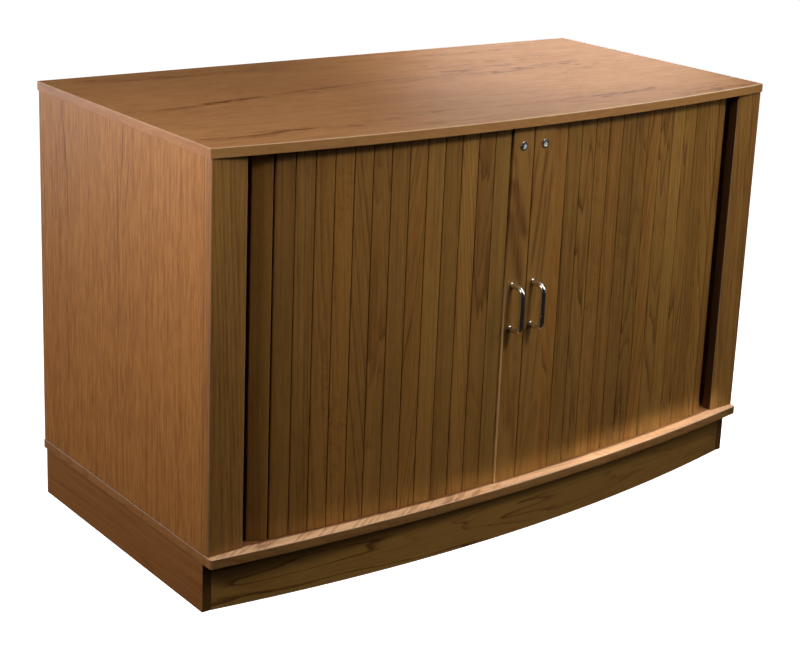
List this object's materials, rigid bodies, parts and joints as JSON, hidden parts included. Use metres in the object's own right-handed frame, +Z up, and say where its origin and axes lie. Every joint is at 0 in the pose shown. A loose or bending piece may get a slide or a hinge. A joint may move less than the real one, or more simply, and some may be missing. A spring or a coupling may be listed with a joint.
{
  "type": "tambour door cabinet",
  "caption": "Low free-standing oak cabinet with a bowed front, sliding tambour doors of upright slats, wire pulls, cam locks, an inner shelf and a recessed plinth.",
  "frame": {"origin": "on the floor, under the middle of the overall box", "axes": "+X to the right along the front, +Y to the back, +Z up"},
  "size_m": [1.219, 0.6365, 0.762],
  "materials": {
    "oak_top": "satin lacquered oak veneer",
    "oak_case": "satin lacquered oak veneer",
    "oak_slat": "satin lacquered solid oak",
    "oak_inside": "matt lacquered oak veneer",
    "backing": "plain hardboard",
    "chrome": "polished chrome plate",
    "lock_metal": "satin nickel",
    "steel": "zinc plated",
    "canvas": "raw cotton duck"
  },
  "bodies": {
    "carcass": {"top_panel": "oak_top", "bottom_panel": "oak_top", "left_side_panel": "oak_case", "right_side_panel": "oak_case", "left_stile": "oak_case", "right_stile": "oak_case", "back_panel": "backing", "base_left_board": "oak_case", "base_right_board": "oak_case", "base_back_board": "oak_case", "base_front_kick": "oak_case", "left_inner_side": "oak_inside", "right_inner_side": "oak_inside", "shelf": "oak_inside", "shelf_pins": "steel", "lock_keepers": "steel"},
    "left_door_lead": {"left_lead_rail": "oak_slat", "left_pull": "chrome", "left_pull_screws": "steel", "left_lock_cylinder": "lock_metal", "left_canvas": "canvas", "left_slat_01": "oak_slat", "left_slat_02": "oak_slat", "left_slat_03": "oak_slat", "left_slat_04": "oak_slat", "left_slat_05": "oak_slat"},
    "left_tail_06": {"left_slat_06": "oak_slat"},
    "left_tail_07": {"left_slat_07": "oak_slat"},
    "left_tail_mid": {"left_slat_08": "oak_slat", "left_slat_09": "oak_slat", "left_slat_10": "oak_slat", "left_slat_11": "oak_slat", "left_slat_12": "oak_slat", "left_slat_13": "oak_slat"},
    "left_tail_14": {"left_slat_14": "oak_slat"},
    "left_tail_15": {"left_slat_15": "oak_slat"},
    "left_lock_turn": {"left_lock_plug": "lock_metal", "left_lock_cam": "steel"},
    "right_door_lead": {"right_lead_rail": "oak_slat", "right_pull": "chrome", "right_pull_screws": "steel", "right_lock_cylinder": "lock_metal", "right_canvas": "canvas", "right_slat_01": "oak_slat", "right_slat_02": "oak_slat", "right_slat_03": "oak_slat", "right_slat_04": "oak_slat", "right_slat_05": "oak_slat"},
    "right_tail_06": {"right_slat_06": "oak_slat"},
    "right_tail_07": {"right_slat_07": "oak_slat"},
    "right_tail_mid": {"right_slat_08": "oak_slat", "right_slat_09": "oak_slat", "right_slat_10": "oak_slat", "right_slat_11": "oak_slat", "right_slat_12": "oak_slat", "right_slat_13": "oak_slat"},
    "right_tail_14": {"right_slat_14": "oak_slat"},
    "right_tail_15": {"right_slat_15": "oak_slat"},
    "right_lock_turn": {"right_lock_plug": "lock_metal", "right_lock_cam": "steel"}
  },
  "joints": [
    {"name": "left_door", "type": "hinge", "parent": "carcass", "child": "left_door_lead", "pos_m": [0, 3.9465, 0.4245], "axis": [0, 0, -1], "range_deg": [0, 3.74]},
    {"name": "left_canvas_hinge_06", "type": "hinge", "parent": "left_door_lead", "child": "left_tail_06", "pos_m": [-0.2189, -0.26331, 0.4245], "axis": [0, 0, -1], "range_deg": [-0.05, 17.58]},
    {"name": "left_canvas_hinge_07", "type": "hinge", "parent": "left_tail_06", "child": "left_tail_07", "pos_m": [-0.25325, -0.26139, 0.4245], "axis": [0, 0, -1], "range_deg": [-0.05, 32.58]},
    {"name": "left_canvas_hinge_08", "type": "hinge", "parent": "left_tail_07", "child": "left_tail_mid", "pos_m": [-0.28758, -0.25918, 0.4245], "axis": [0, 0, -1], "range_deg": [-0.05, 40.58]},
    {"name": "left_canvas_hinge_14", "type": "hinge", "parent": "left_tail_mid", "child": "left_tail_14", "pos_m": [-0.49307, -0.24007, 0.4245], "axis": [0, 0, -1], "range_deg": [-17.58, 0.05]},
    {"name": "left_canvas_hinge_15", "type": "hinge", "parent": "left_tail_14", "child": "left_tail_15", "pos_m": [-0.52438, -0.22581, 0.4245], "axis": [0, 0, -1], "range_deg": [-32.58, 0.05]},
    {"name": "left_lock", "type": "hinge", "parent": "left_door_lead", "child": "left_lock_turn", "pos_m": [-0.0235, -0.26887, 0.711], "axis": [-0.0056, -1, 0], "range_deg": [0, 180]},
    {"name": "right_door", "type": "hinge", "parent": "carcass", "child": "right_door_lead", "pos_m": [0, 3.9465, 0.4245], "axis": [0, 0, 1], "range_deg": [0, 3.74]},
    {"name": "right_canvas_hinge_06", "type": "hinge", "parent": "right_door_lead", "child": "right_tail_06", "pos_m": [0.2189, -0.26331, 0.4245], "axis": [0, 0, 1], "range_deg": [-0.05, 17.58]},
    {"name": "right_canvas_hinge_07", "type": "hinge", "parent": "right_tail_06", "child": "right_tail_07", "pos_m": [0.25325, -0.26139, 0.4245], "axis": [0, 0, 1], "range_deg": [-0.05, 32.58]},
    {"name": "right_canvas_hinge_08", "type": "hinge", "parent": "right_tail_07", "child": "right_tail_mid", "pos_m": [0.28758, -0.25918, 0.4245], "axis": [0, 0, 1], "range_deg": [-0.05, 40.58]},
    {"name": "right_canvas_hinge_14", "type": "hinge", "parent": "right_tail_mid", "child": "right_tail_14", "pos_m": [0.49307, -0.24007, 0.4245], "axis": [0, 0, 1], "range_deg": [-17.58, 0.05]},
    {"name": "right_canvas_hinge_15", "type": "hinge", "parent": "right_tail_14", "child": "right_tail_15", "pos_m": [0.52438, -0.22581, 0.4245], "axis": [0, 0, 1], "range_deg": [-32.58, 0.05]},
    {"name": "right_lock", "type": "hinge", "parent": "right_door_lead", "child": "right_lock_turn", "pos_m": [0.0235, -0.26887, 0.711], "axis": [-0.0056, 1, 0], "range_deg": [0, 180]}
  ],
  "couplings": [
    {"joint": "left_canvas_hinge_06", "follows": "left_door", "ratio": 4.6873},
    {"joint": "left_canvas_hinge_07", "follows": "left_door", "ratio": 8.6975},
    {"joint": "left_canvas_hinge_08", "follows": "left_door", "ratio": 10.836},
    {"joint": "left_canvas_hinge_14", "follows": "left_door", "ratio": -4.6873},
    {"joint": "left_canvas_hinge_15", "follows": "left_door", "ratio": -8.6975},
    {"joint": "right_canvas_hinge_06", "follows": "right_door", "ratio": 4.6873},
    {"joint": "right_canvas_hinge_07", "follows": "right_door", "ratio": 8.6975},
    {"joint": "right_canvas_hinge_08", "follows": "right_door", "ratio": 10.836},
    {"joint": "right_canvas_hinge_14", "follows": "right_door", "ratio": -4.6873},
    {"joint": "right_canvas_hinge_15", "follows": "right_door", "ratio": -8.6975}
  ]
}
